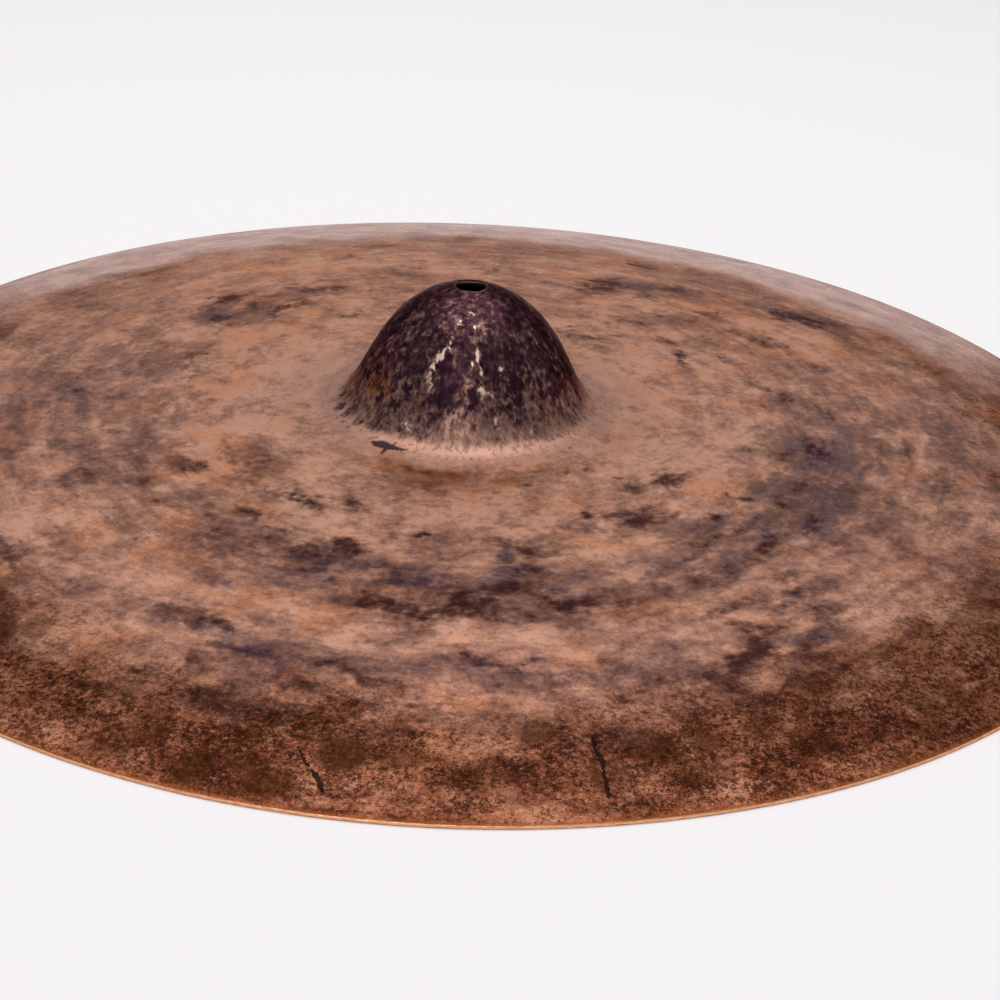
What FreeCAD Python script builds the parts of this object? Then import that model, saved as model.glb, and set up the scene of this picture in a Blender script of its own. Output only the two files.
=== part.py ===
"""Hand-hammered bronze cymbal with a tall domed cup.

One forged disc: a shallow conical crown round the stand hole, a steep parabolic cup, a
hollow fillet at the foot of the cup, a long shallow bow, and an outer zone that turns down to
a cut edge. The wall is thickest at the crown and thins towards the edge.

Frame: millimetres, +Z up along the axis of the stand hole, origin on that axis in the
plane that the edge stands on when the cymbal lies with its cup upward.
"""

import FreeCAD, Part

import math
import os

os.makedirs("parts", exist_ok=True)

# ---------------------------------------------------------------- driving dimensions
DIAMETER = 558.8            # 22 inch
HOLE_D = 12.7               # 1/2 inch stand hole
HEIGHT = 72.6               # lip of the hole above the plane of the edge
CROWN_SLOPE = 18.0          # degrees the crown falls away at the lip of the hole
T_CROWN = 2.0               # wall at the crown
T_CUP = 1.65                # wall on the flank of the cup
T_FOOT = 1.8                # wall at the foot of the cup
T_BOW = 1.5                 # wall half way along the bow
T_EDGE = 1.36               # height of the cut edge
EDGE_BREAK = 0.35           # broken corners of the cut edge
EDGE_LAND = 1.2             # width of the flat that bears on the floor, under the edge
HOLE_BREAK = 0.25           # broken corners of the stand hole

R_OUT = DIAMETER / 2.0
R_HOLE = HOLE_D / 2.0

# Upper surface: radius, drop below the lip of the hole, downward slope in degrees.
PROFILE = [
    (R_HOLE + HOLE_BREAK, 0.0, CROWN_SLOPE),
    (12.0, 1.88, 20.5), (16.0, 3.50, 24.5), (20.0, 5.55, 31.5), (24.2, 8.50, 39.0),
    (31.0, 15.10, 49.5), (37.4, 23.95, 59.0), (43.0, 34.19, 62.7), (47.2, 42.31, 60.5),
    (50.0, 46.49, 49.6), (53.5, 49.36, 28.8), (60.5, 51.45, 8.6), (72.0, 52.43, 2.8),
    (100.0, 53.55, 2.4), (150.0, 56.05, 3.4), (200.0, 59.75, 5.3), (240.0, 64.55, 8.4),
    (262.0, 68.08, 10.0), (R_OUT - EDGE_BREAK, HEIGHT - T_EDGE, 11.1),
]


def V(r, z):
    return FreeCAD.Vector(r, 0.0, z)


def heading(slope):
    """Unit vector running outward and down at a slope in degrees."""
    a = math.radians(slope)
    return V(math.cos(a), -math.sin(a))


def wall(r):
    """Wall thickness at a radius, square to the surface."""
    stations = [
        (0.0, T_CROWN), (11.0, T_CROWN), (24.0, T_CUP), (46.0, T_CUP),
        (56.0, T_FOOT), (95.0, T_BOW + 0.1), (165.0, T_BOW), (R_OUT, T_EDGE),
    ]
    for (r0, t0), (r1, t1) in zip(stations, stations[1:]):
        if r <= r1:
            s = (r - r0) / (r1 - r0)
            s = s * s * (3 - 2 * s)
            return t0 + (t1 - t0) * s
    return T_EDGE


def arc(p, d, q):
    """Arc that leaves p along d and ends at q."""
    chord = q - p
    n = V(-d.z, d.x)
    den = 2.0 * n.dot(chord)
    if abs(den) < 1e-6 * chord.Length:
        return Part.LineSegment(p, q).toShape()
    rad = chord.Length ** 2 / den
    c = p + n * rad
    mid = (p + q) * 0.5 - c
    mid.normalize()
    return Part.Arc(p, c + mid * abs(rad), q).toShape()


def pair(a, da, b, db):
    """Two arcs, tangent to each other, from a heading da to b heading db."""
    v = b - a
    t = da + db
    den = 2.0 * (1.0 - da.dot(db))
    if den < 1e-9:
        d = v.dot(v) / (4.0 * v.dot(db))
    else:
        d = (math.sqrt(v.dot(t) ** 2 + den * v.dot(v)) - v.dot(t)) / den
    m = (a + b + (da - db) * d) * 0.5
    first = arc(a, da, m)
    second = arc(b, db * -1.0, m)
    return [first, second]


def chain(stations):
    """Tangent arcs through stations of (radius, height, slope)."""
    out = []
    for (r0, z0, s0), (r1, z1, s1) in zip(stations, stations[1:]):
        out += pair(V(r0, z0), heading(s0), V(r1, z1), heading(s1))
    return out


# ---------------------------------------------------------------- upper and lower curves
upper_st = [(r, HEIGHT - drop, slope) for r, drop, slope in PROFILE]

# Each station is dropped square to the upper surface by the wall. The first one is the
# hole's lower lip and the last one is the inner edge of the bearing land.
lip_z = HEIGHT - T_CROWN / math.cos(math.radians(CROWN_SLOPE))
lower_st = [(R_HOLE + HOLE_BREAK, lip_z, CROWN_SLOPE)]
for r, z, slope in upper_st[1:-1]:
    h = heading(slope)
    w = wall(r)
    lower_st.append((r + h.z * w, z - h.x * w, slope))
lower_st.append((R_OUT - EDGE_BREAK - EDGE_LAND, 0.0, PROFILE[-1][2]))

upper = chain(upper_st)
lower = chain(lower_st)

# ---------------------------------------------------------------- section and disc
lip_top = V(R_HOLE + HOLE_BREAK, HEIGHT)
bore_top = V(R_HOLE, HEIGHT - HOLE_BREAK)
bore_bot = V(R_HOLE, lip_z + HOLE_BREAK)
lip_bot = V(R_HOLE + HOLE_BREAK, lip_z)
rim_top = V(R_OUT - EDGE_BREAK, T_EDGE)
edge_top = V(R_OUT, T_EDGE - EDGE_BREAK)
edge_bot = V(R_OUT, EDGE_BREAK)
land_out = V(R_OUT - EDGE_BREAK, 0.0)
land_in = V(R_OUT - EDGE_BREAK - EDGE_LAND, 0.0)


def line(a, b):
    return Part.LineSegment(a, b).toShape()


edges = [line(bore_bot, bore_top), line(bore_top, lip_top)]
edges += upper
edges += [
    line(rim_top, edge_top), line(edge_top, edge_bot),
    line(edge_bot, land_out), line(land_out, land_in),
]
edges += lower
edges += [line(lip_bot, bore_bot)]
wire = Part.Wire(Part.__sortEdges__(edges))
assert wire.isClosed()
section = Part.Face(wire)
disc = section.revolve(FreeCAD.Vector(0, 0, 0), FreeCAD.Vector(0, 0, 1), 360.0)
if disc.ShapeType != "Solid":
    disc = disc.Solids[0] if disc.Solids else Part.Solid(disc.Shells[0])
if disc.Volume < 0:
    disc.reverse()

assert disc.isValid() and disc.isClosed()
disc.exportStep("parts/cymbal.step")

# ---------------------------------------------------------------- printed summary
box = disc.BoundBox
print("cymbal  volume %.1f cm3  mass %.2f kg at 8.6 g/cm3"
      % (disc.Volume / 1e3, disc.Volume * 8.6e-6))
print("box  x %.2f %.2f  y %.2f %.2f  z %.3f %.3f"
      % (box.XMin, box.XMax, box.YMin, box.YMax, box.ZMin, box.ZMax))
over = [e.discretize(40) for e in upper]
under = [p for e in lower for p in e.discretize(40)]
thin = min(min((p - q).Length for q in under) for pts in over for p in pts[::8]
           if R_HOLE + 2 < p.x < R_OUT - 3)
print("thinnest wall %.2f   faces %d   wall of the hole %.3f long, its middle at %.3f"
      % (thin, len(disc.Faces), bore_top.z - bore_bot.z, (bore_top.z + bore_bot.z) / 2))
for r in (10, 20, 26.5, 30, 40, 42, 44, 60, 100, 150, 200, 212, 240, 270):
    near = min(under, key=lambda p: abs(p.x - r))
    print("underside at radius %5.1f is %.2f above the floor" % (near.x, near.z))
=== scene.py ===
import math

import bpy
import numpy as np
from mathutils import Matrix


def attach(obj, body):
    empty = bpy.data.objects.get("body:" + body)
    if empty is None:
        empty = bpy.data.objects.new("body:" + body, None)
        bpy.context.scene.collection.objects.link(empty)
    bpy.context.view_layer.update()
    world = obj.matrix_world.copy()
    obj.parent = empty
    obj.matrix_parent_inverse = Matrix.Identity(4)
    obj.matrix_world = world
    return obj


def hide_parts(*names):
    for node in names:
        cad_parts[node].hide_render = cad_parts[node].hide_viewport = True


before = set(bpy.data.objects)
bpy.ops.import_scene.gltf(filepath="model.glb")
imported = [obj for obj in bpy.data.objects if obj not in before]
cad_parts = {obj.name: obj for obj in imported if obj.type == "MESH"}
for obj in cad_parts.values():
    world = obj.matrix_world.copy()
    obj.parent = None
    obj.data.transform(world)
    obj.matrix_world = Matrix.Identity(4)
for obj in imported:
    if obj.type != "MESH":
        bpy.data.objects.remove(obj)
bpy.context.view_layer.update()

MM = 0.001

# ------------------------------------------------------------------ section, in millimetres
HEIGHT = 72.6
R_OUT = 279.4
R_HOLE = 6.35
HOLE_BREAK = 0.25
T_CROWN, T_CUP, T_FOOT, T_BOW, T_EDGE = 2.0, 1.65, 1.8, 1.5, 1.36
EDGE_BREAK, EDGE_LAND = 0.35, 1.2
CROWN_SLOPE = 18.0

# radius, drop below the lip of the hole, downward slope in degrees: the CAD section's stations
PROFILE = [
    (R_HOLE + HOLE_BREAK, 0.0, CROWN_SLOPE),
    (12.0, 1.88, 20.5), (16.0, 3.50, 24.5), (20.0, 5.55, 31.5), (24.2, 8.50, 39.0),
    (31.0, 15.10, 49.5), (37.4, 23.95, 59.0), (43.0, 34.19, 62.7), (47.2, 42.31, 60.5),
    (50.0, 46.49, 49.6), (53.5, 49.36, 28.8), (60.5, 51.45, 8.6), (72.0, 52.43, 2.8),
    (100.0, 53.55, 2.4), (150.0, 56.05, 3.4), (200.0, 59.75, 5.3), (240.0, 64.55, 8.4),
    (262.0, 68.08, 10.0), (R_OUT - EDGE_BREAK, HEIGHT - T_EDGE, 11.1),
]


def wall(r):
    xs = [0.0, 11.0, 24.0, 46.0, 56.0, 95.0, 165.0, R_OUT]
    ts = [T_CROWN, T_CROWN, T_CUP, T_CUP, T_FOOT, T_BOW + 0.1, T_BOW, T_EDGE]
    for i in range(7):
        if r <= xs[i + 1]:
            s = (r - xs[i]) / (xs[i + 1] - xs[i])
            s = s * s * (3 - 2 * s)
            return ts[i] + (ts[i + 1] - ts[i]) * s
    return T_EDGE


def arc_points(p, d, q, n):
    """n points from p to q, without p, on the arc that leaves p along d."""
    v = q - p
    nn = np.array([-d[1], d[0]])
    den = 2.0 * nn.dot(v)
    k = np.arange(1, n + 1) / n
    if abs(den) < 1e-9:
        return p + np.outer(k, v)
    rad = v.dot(v) / den
    c = p + nn * rad
    a0 = math.atan2(p[1] - c[1], p[0] - c[0])
    a1 = math.atan2(q[1] - c[1], q[0] - c[0])
    da = (a1 - a0 + math.pi) % (2 * math.pi) - math.pi
    a = a0 + da * k
    return c + abs(rad) * np.stack([np.cos(a), np.sin(a)], 1)


def chain(stations, n=24):
    """Dense points along tangent arcs through (radius, height, slope)."""
    out = [np.array([[stations[0][0], stations[0][1]]])]
    for (r0, z0, s0), (r1, z1, s1) in zip(stations, stations[1:]):
        a, b = np.array([r0, z0]), np.array([r1, z1])
        da = np.array([math.cos(math.radians(s0)), -math.sin(math.radians(s0))])
        db = np.array([math.cos(math.radians(s1)), -math.sin(math.radians(s1))])
        v, t = b - a, da + db
        den = 2.0 * (1.0 - da.dot(db))
        if den < 1e-9:
            d = v.dot(v) / (4.0 * v.dot(db))
        else:
            d = (math.sqrt(v.dot(t) ** 2 + den * v.dot(v)) - v.dot(t)) / den
        m = (a + b + d * (da - db)) / 2.0
        out.append(arc_points(a, da, m, n))
        back = arc_points(b, -db, m, n)
        out.append(np.vstack([back[:-1][::-1], b[None]]))
    return np.vstack(out)


upper_st = [(r, HEIGHT - d, s) for r, d, s in PROFILE]
LIP_Z = HEIGHT - T_CROWN / math.cos(math.radians(CROWN_SLOPE))
lower_st = [(R_HOLE + HOLE_BREAK, LIP_Z, CROWN_SLOPE)]
for r, z, s in upper_st[1:-1]:
    a, w = math.radians(s), wall(r)
    lower_st.append((r - math.sin(a) * w, z - math.cos(a) * w, s))
lower_st.append((R_OUT - EDGE_BREAK - EDGE_LAND, 0.0, PROFILE[-1][2]))
UP = chain(upper_st)
LOW = chain(lower_st)


def stations_by_length(curve, steps):
    """Points along a curve, with a spacing that depends on the radius there. steps is [(radius up to which, spacing)]."""
    s = np.r_[0.0, np.cumsum(np.hypot(*np.diff(curve, axis=0).T))]
    out, pos = [], 0.0
    while pos < s[-1]:
        r = np.interp(pos, s, curve[:, 0])
        z = np.interp(pos, s, curve[:, 1])
        out.append((r, z))
        pos += next(st for lim, st in steps if r < lim)
    if s[-1] - (pos - steps[-1][1]) < 0.4 * steps[-1][1]:
        out.pop()
    out.append(tuple(curve[-1]))
    return out


# ------------------------------------------------------------------ seeded noise for shape
def lattice(ix, iy, iz, seed):
    h = (ix * 374761393 + iy * 668265263 + iz * 1440662683 + seed * 974634777) & 0xFFFFFFFF
    h = ((h ^ (h >> 13)) * 1274126177) & 0xFFFFFFFF
    h = ((h ^ (h >> 15)) * 2246822519) & 0xFFFFFFFF
    return ((h ^ (h >> 16)) & 0xFFFFFF) / float(0xFFFFFF) * 2.0 - 1.0


def vnoise(p, size, seed):
    """Smooth value noise in -1..1 with features of about size."""
    q = p / size + 1000.0
    i = np.floor(q).astype(np.int64)
    f = q - i
    w = f * f * f * (f * (f * 6 - 15) + 10)
    res = 0.0
    for dx in (0, 1):
        wx = w[:, 0] if dx else 1 - w[:, 0]
        for dy in (0, 1):
            wy = w[:, 1] if dy else 1 - w[:, 1]
            for dz in (0, 1):
                wz = w[:, 2] if dz else 1 - w[:, 2]
                res = res + wx * wy * wz * lattice(i[:, 0] + dx, i[:, 1] + dy, i[:, 2] + dz, seed)
    return res


def smooth(x, lo, hi):
    t = np.clip((x - lo) / (hi - lo), 0, 1)
    return t * t * (3 - 2 * t)


# ------------------------------------------------------------------ rings of the closed skin
# Each ring: radius, height, number of points, side (1 over, 0 under), cut (1 on raw edge)
N0 = 90
RINGS = []


def count_at(r, over):
    if over:
        return N0 if r < 12 else 2 * N0 if r < 30 else 4 * N0 if r < 92 else 8 * N0
    return N0 if r < 30 else 2 * N0 if r < 92 else 4 * N0


BORE_LO, BORE_HI = LIP_Z + HOLE_BREAK, HEIGHT - HOLE_BREAK
for k in (0.0, 0.25, 0.5, 0.75, 1.0):
    RINGS.append((R_HOLE, BORE_LO + k * (BORE_HI - BORE_LO), N0, 1, 0.0))
RINGS.append((R_HOLE + 0.09, HEIGHT - 0.09, N0, 1, 0.0))
over = stations_by_length(UP, [(12, 0.6), (30, 0.95), (64, 1.25), (92, 1.95), (400, 3.0)])
for r, z in over:
    RINGS.append((r, z, count_at(r, True), 1, 0.0))
I_RIM = len(RINGS) - 1
n8, n4 = 8 * N0, 4 * N0
RINGS.append((R_OUT - 0.12, T_EDGE - 0.11, n8, 1, 1.0))
RINGS.append((R_OUT, T_EDGE - EDGE_BREAK, n8, 1, 1.0))
RINGS.append((R_OUT, (T_EDGE - EDGE_BREAK + EDGE_BREAK) / 2, n8, 0, 1.0))
RINGS.append((R_OUT, EDGE_BREAK, n8, 0, 1.0))
RINGS.append((R_OUT - 0.10, 0.10, n8, 0, 1.0))
RINGS.append((R_OUT - EDGE_BREAK, 0.0, n8, 0, 1.0))
I_LAND = len(RINGS)
under = stations_by_length(LOW, [(30, 1.8), (64, 2.3), (92, 3.2), (400, 4.6)])
for r, z in under[::-1]:
    RINGS.append((r, z, count_at(r, False), 0, 0.0))
RINGS.append((R_HOLE + 0.09, LIP_Z + 0.09, N0, 0, 0.0))

rr = np.array([q[0] for q in RINGS])
zz = np.array([q[1] for q in RINGS])
cnt = np.array([q[2] for q in RINGS])
start = np.r_[0, np.cumsum(cnt)]
n_ring = len(RINGS)
arc = np.r_[0.0, np.cumsum(np.hypot(np.diff(rr), np.diff(zz)))]

ring_of = np.repeat(np.arange(n_ring), cnt)
theta = np.concatenate([np.arange(c) * (2 * math.pi / c) for c in cnt]) - math.pi / 2
R = rr[ring_of]
Z = zz[ring_of]
side = np.array([q[3] for q in RINGS], float)[ring_of]
cut = np.array([q[4] for q in RINGS], float)[ring_of]
X, Y = R * np.cos(theta), R * np.sin(theta)

# outward normal of the section at each ring
tr = np.gradient(rr, arc)
tz = np.gradient(zz, arc)
nl = np.hypot(tr, tz)
nr, nz = -tz / nl, tr / nl
NR, NZ = nr[ring_of], nz[ring_of]

# ------------------------------------------------------------------ hammering and waviness
P0 = np.stack([X, Y, Z], 1)
inner = smooth(R, 8.5, 19.0)
outer = 1.0 - smooth(R, 268.0, 276.5)
on_bell = 1.0 - smooth(R, 46.0, 62.0)
env = inner * outer

flat = P0.copy()
flat[:, 2] = 0.0
sheet = (0.34 * vnoise(flat, 58.0, 11) + 0.17 * vnoise(flat, 27.0, 12)) * (1 - on_bell)
sheet += (0.30 * vnoise(P0, 19.0, 13) + 0.13 * vnoise(P0, 9.0, 14)) * on_bell
disp_up = sheet + 0.05 * vnoise(flat, 9.0, 15) * (1 - on_bell)
disp_lo = -sheet

rng = np.random.default_rng(20260)


def polar(az, r):
    """Azimuth 0 is the side towards -Y, and it grows towards +X."""
    a = math.radians(az)
    return r * math.sin(a), -r * math.cos(a)


marks = []          # x, y, radius, depth, dark, side
# struck spots that carry a dark, oily stain near the edge
for az, r, rad, dep, dark in (
    (-7.9, 251.5, 9.5, .20, .95), (-12.0, 269.5, 8.2, .17, .95), (-17.9, 270.5, 8.0, .18, .9),
    (-13.8, 264.5, 7.4, .16, .75), (-3.8, 250.5, 7.6, .16, .62), (-15.0, 250.1, 5.5, .12, .55),
    (6.6, 236.2, 7.4, .15, .65), (15.1, 246.0, 9.6, .20, .75), (19.5, 245.0, 8.2, .16, .6),
    (11.2, 259.0, 8.8, .15, .6), (17.6, 262.0, 9.0, .16, .55), (1.2, 258.0, 7.0, .12, .45),
    (-5.0, 238.0, 6.5, .12, .35), (-10.5, 243.0, 6.0, .10, .3), (24.5, 246.0, 8.0, .15, .5),
    (27.5, 258.0, 9.0, .16, .6), (-22.5, 255.0, 9.0, .17, .7), (-24.0, 267.5, 7.5, .15, .6),
    (4.4, 266.5, 6.0, .10, .35), (-27.0, 243.0, 8.0, .13, .5),
):
    x, y = polar(az, r)
    marks.append((x, y, rad, dep, dark, 1))
for _ in range(150):
    az = rng.uniform(-180, 180)
    r = rng.uniform(226, 270)
    if abs(az) < 30 and rng.random() < 0.6:
        continue
    x, y = polar(az, r)
    dark = max(0.0, rng.uniform(-0.35, 0.9)) if abs(az) > 30 else 0.15
    marks.append((x, y, rng.uniform(5.0, 9.5), rng.uniform(.06, .2), dark, 1))
for _ in range(330):
    az, r = rng.uniform(-180, 180), math.sqrt(rng.uniform(68 ** 2, 226 ** 2))
    x, y = polar(az, r)
    marks.append((x, y, rng.uniform(4.5, 9.5), rng.uniform(.03, .11), 0.0, 1))
for _ in range(90):
    az, r = rng.uniform(-180, 180), rng.uniform(17, 48)
    x, y = polar(az, r)
    marks.append((x, y, rng.uniform(2.4, 4.6), rng.uniform(.05, .14), 0.0, 1))
for _ in range(520):
    az, r = rng.uniform(-180, 180), math.sqrt(rng.uniform(60 ** 2, 268 ** 2))
    x, y = polar(az, r)
    marks.append((x, y, rng.uniform(6.5, 11.5), rng.uniform(.08, .24), 0.0, 0))

mark = np.zeros(len(R))
is_up = side > 0.5
idx_up = np.where(is_up)[0]
idx_lo = np.where(~is_up)[0]
xy_up = np.stack([X, Y], 1)[idx_up]
xy_lo = np.stack([X, Y], 1)[idx_lo]
for x, y, rad, dep, dark, which in marks:
    idx, xy = (idx_up, xy_up) if which else (idx_lo, xy_lo)
    stretch = 1.0 + 0.18 * math.sin(x * 1.7 + y)
    dx, dy = (xy[:, 0] - x) * stretch, (xy[:, 1] - y) / stretch
    near = np.where(dx * dx + dy * dy < (1.5 * rad) ** 2)[0]
    if not len(near):
        continue
    t = np.hypot(dx[near], dy[near]) / rad
    bowl = np.where(t < 1, -dep * (1 - t * t) ** 2, 0.0)
    lip = dep * 0.16 * np.exp(-((t - 1.08) / 0.16) ** 2)
    tgt = idx[near]
    if which:
        disp_up[tgt] += bowl + lip
        if dark > 0:
            mark[tgt] = np.maximum(mark[tgt], dark * (1 - smooth(t, 0.72, 1.12)))
    else:
        disp_lo[tgt] += bowl + lip

disp = np.where(is_up, disp_up, disp_lo) * env
disp[cut > 0.5] = 0.0
X = X + disp * NR * np.cos(theta)
Y = Y + disp * NR * np.sin(theta)
Z = Z + disp * NZ
# the hole's mouth is uneven: its far side was pressed down, most in the middle, and the near
# side is a little worn. The wall of the hole follows its mouth.
Z0 = zz[ring_of]
back = np.degrees(np.arctan2(X, Y))
dip = 0.10 + 0.75 * np.exp(-((back + 2.0) / 48.0) ** 4)
dip += 0.05 * np.sin(5 * theta + 0.7)
share = np.where(R < R_HOLE + 0.01, np.clip((Z0 - BORE_LO) / (BORE_HI - BORE_LO), 0, 1),
                 1.0 - smooth(R, 6.7, 10.5))
Z = np.where(is_up & (R < 11.0), Z - dip * share, Z)
# the cut edge wanders by a few tenths
edge_in = 0.16 + 0.16 * np.sin(5 * theta + 1.0) * np.sin(3 * theta) + 0.05 * vnoise(flat, 14.0, 31)
edge_in = np.clip(edge_in, 0.0, 0.4) * smooth(R, 272.0, 278.8)
X = X - edge_in * np.cos(theta)
Y = Y - edge_in * np.sin(theta)
Z = np.clip(Z, 0.0, HEIGHT)

# ------------------------------------------------------------------ patina fields on the skin
AZ = np.degrees(np.arctan2(X, -Y))
warp = np.stack([vnoise(flat, 14.0, 41), vnoise(flat, 14.0, 42)], 1) * 4.5
warp += np.stack([vnoise(flat, 6.0, 43), vnoise(flat, 6.0, 44)], 1) * 2.2


def blotches(spec, index):
    """Sum of soft, warped ellipses: azimuth, radius, half length across, half length outward,
    turn in degrees, strength."""
    f = np.zeros(len(R))
    px = X[index] + warp[index, 0]
    py = Y[index] + warp[index, 1]
    for az, r, hu, hv, turn, amp in spec:
        cx, cy = polar(az, r)
        a = math.radians(az + turn)
        ux, uy = math.cos(a), math.sin(a)
        dx, dy = px - cx, py - cy
        u = (dx * ux + dy * uy) / (hu * 1.12)
        v = (-dx * uy + dy * ux) / (hv * 1.22)
        q = u * u + v * v
        g = amp * np.exp(-np.clip(q, 0, 30) ** 1.3 * 0.75)
        f[index] = np.maximum(f[index], g)
    return f


bow_idx = np.where(is_up & (R > 52))[0]
DARK = [
    # left of the bell and behind it
    (-136.5, 166.7, 10, 9, 20, 1.0), (-139, 150, 12, 6, 35, .8), (-141, 134, 13, 5, 30, .8),
    (-146, 122, 14, 4.5, 10, .6), (-152, 112, 12, 5, 0, .55), (-128, 150, 9, 12, 0, .65),
    (-158, 112, 9, 6, 0, .5), (-120, 128, 8, 5, 0, .5),
    # right of the bell and behind it
    (157.2, 169.5, 11, 14, 0, .85), (150, 182, 16, 9, 30, .65), (131, 200, 14, 9, 0, 1.0),
    (127, 204, 10, 6, -10, .9), (138, 168, 9, 9, 0, .6), (143, 150, 10, 6, 20, .6),
    (150, 120, 10, 5, 30, .6), (120, 130, 8, 5, 0, .6), (112, 165, 10, 7, 0, .65),
    (100, 141, 9, 6, 0, .75), (106, 128, 9, 4, 0, .6), (96, 152, 14, 5, 10, .6),
    (77.3, 119.5, 4, 3, 0, .8),
    # right side, towards the front
    (54.6, 131.8, 4.4, 3, 0, 1.0), (47, 131, 4, 4, 0, .7), (50.6, 109, 12, 2.6, 12, .8),
    (49.5, 99, 8, 3, 10, .7), (35.9, 120, 8, 7, 0, .85), (33, 116, 6, 4, 0, .6),
    (26.2, 110.2, 4.6, 3.6, 0, .9), (23.8, 118.3, 5, 4, 0, .55), (41, 125, 6, 3, 0, .6),
    (40.5, 144.5, 9, 3.4, 12, .9), (46, 146, 9, 4, 10, .7), (46.6, 160, 12, 4.5, 15, .8),
    (38.6, 162.5, 12, 4.5, 10, .6), (56, 160, 10, 5, 20, .75), (60, 145.5, 9, 7, 0, .6),
    (64.9, 148.3, 12, 6, 0, .6), (74.4, 137, 12, 5, 0, .6), (78.3, 146.3, 12, 4.5, 0, .8),
    (33.5, 72.4, 4, 3, 0, .55), (39, 76, 6, 3, 30, .6), (19.0, 80.3, 3.4, 2.6, 0, .7),
    (29.8, 156.8, 12, 3, 8, .6), (33.3, 166.2, 10, 3, 8, .55), (30.1, 185.6, 9, 3, 5, .6),
    (33.2, 198.5, 9, 3, 0, .75), (38.9, 190.4, 14, 4, 0, .5), (39.4, 206.3, 8, 6, 0, .65),
    # in front
    (7.9, 120.2, 9, 5, 0, .85), (13.7, 124.8, 6, 3.4, 10, .7), (10.2, 144.0, 7, 4.5, 0, .95),
    (8.4, 138.1, 7, 4, 0, .7), (6.8, 155.5, 13, 3.6, 0, .95), (12.0, 158.0, 8, 3.4, 5, .8),
    (15.1, 163.2, 11, 4, 6, 1.0), (19.2, 160.5, 9, 3.2, 8, .6), (20.4, 170, 8, 4, 0, .5),
    (8, 170, 12, 4, 0, .6), (-1.1, 157.7, 10, 4, 0, .85), (1.5, 163.7, 12, 3.4, 0, .9),
    (2.7, 169, 13, 4, 0, .8), (-4, 169.7, 14, 4.2, 0, .95), (-8.5, 167.2, 13, 4, 0, 1.0),
    (-11.3, 163.5, 5, 3.4, 0, .9), (-6.7, 151.8, 12, 4, 0, .75), (-9.0, 147.3, 8, 4, 0, .6),
    (-2.0, 177.0, 12, 3.4, 0, .6), (-17.2, 133.5, 5, 6, 10, 1.0), (-15.1, 139.5, 6, 3.4, 20, .8),
    (-18.4, 125.5, 9, 3.6, 0, .6), (-8.4, 117.1, 3.6, 2.8, 0, 1.0), (-4.4, 121.6, 3.4, 3.4, 0, .5),
    (-3.4, 124.9, 4, 2.8, 0, .45), (-22.6, 140.5, 9, 5, 15, .95), (-19.3, 148, 6, 4, 30, .8),
    (-17.6, 157, 5, 4, 20, .7), (-26.8, 139, 8, 4, 10, .65), (-31.2, 136, 12, 3.6, 0, .65),
    (-37.4, 131.6, 5.5, 5, 20, .95), (-41.3, 139.7, 9, 4, 0, .4), (-36.9, 111.0, 3.4, 2.6, 0, .95),
    (-32.6, 113.8, 7, 4, -25, .9), (-46.6, 116.1, 4, 3, 0, .6), (-53.5, 104.6, 10, 3, -30, .35),
    (-25, 100, 10, 2.6, -28, .5), (-29.5, 149.6, 8, 5, 0, .6), (-34, 155, 12, 4, 0, .55),
    (-20.5, 152, 9, 3.4, 0, .6), (-24.2, 201.6, 10, 3, 0, .75), (-28.8, 200.3, 7, 4, 0, .5),
    (-57, 124, 5, 3, 0, .8), (-61, 126, 7, 3, 20, .6), (-62, 112, 10, 4, 0, .5),
    # streaks inside the rim
    (1.2, 198.8, 3.6, 1.6, 0, 1.0), (3.6, 200.2, 7.5, 1.9, 3, 1.0), (5.8, 203.4, 5, 1.7, -8, .95),
    (7.6, 203.0, 8, 1.7, 4, .9), (3.4, 212.3, 4, 2.4, 0, .8), (4.8, 214.0, 4, 1.6, 0, .6),
    (-4.6, 222.4, 11, 1.0, -4, .9), (-7.2, 224.0, 3, 1.0, 0, .7), (-1, 219.7, 9, 1.6, 0, .6),
    (-16.5, 209, 14, 3.6, 0, .55), (-11.6, 210.5, 11, 3.4, 0, .8), (-8.7, 211.5, 5, 2.6, 0, .9),
    (-20.5, 213, 9, 3, 0, .6), (-23.5, 224, 5, 5, 0, .7), (-19, 231, 7, 6, 0, .6),
    (-14.4, 222.5, 4, 3, 0, .7), (-9.0, 227.8, 4, 3, 0, .7),
    (28.3, 208.6, 9, 3.6, 0, 1.0), (30.0, 204.0, 6, 3, 10, .9), (31.5, 211.5, 8, 3, 0, .7),
    (27.2, 214.4, 6, 2.6, 12, .8), (24.3, 219.6, 7.5, 2.6, 14, 1.0), (21.8, 218.4, 6, 1.8, 10, .7),
    (25.4, 222.5, 6, 2.6, 10, .8), (22.6, 212.5, 14, 3, 6, .5), (34.0, 221, 9, 9, 0, .8),
    (32.6, 234, 7, 6, 0, .7), (12, 210, 12, 5, 20, .55), (15.5, 219, 13, 3.4, 10, .7),
    (14.3, 222.6, 6, 2.0, 50, .85), (15.0, 227.4, 2.2, 4.4, 0, .95), (12.5, 240.2, 4, 4, 0, .8),
    (8.8, 211, 12, 3, 0, .45), (20, 226, 9, 4, 0, .4), (-2.5, 234, 10, 6, 0, .45),
]
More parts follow.
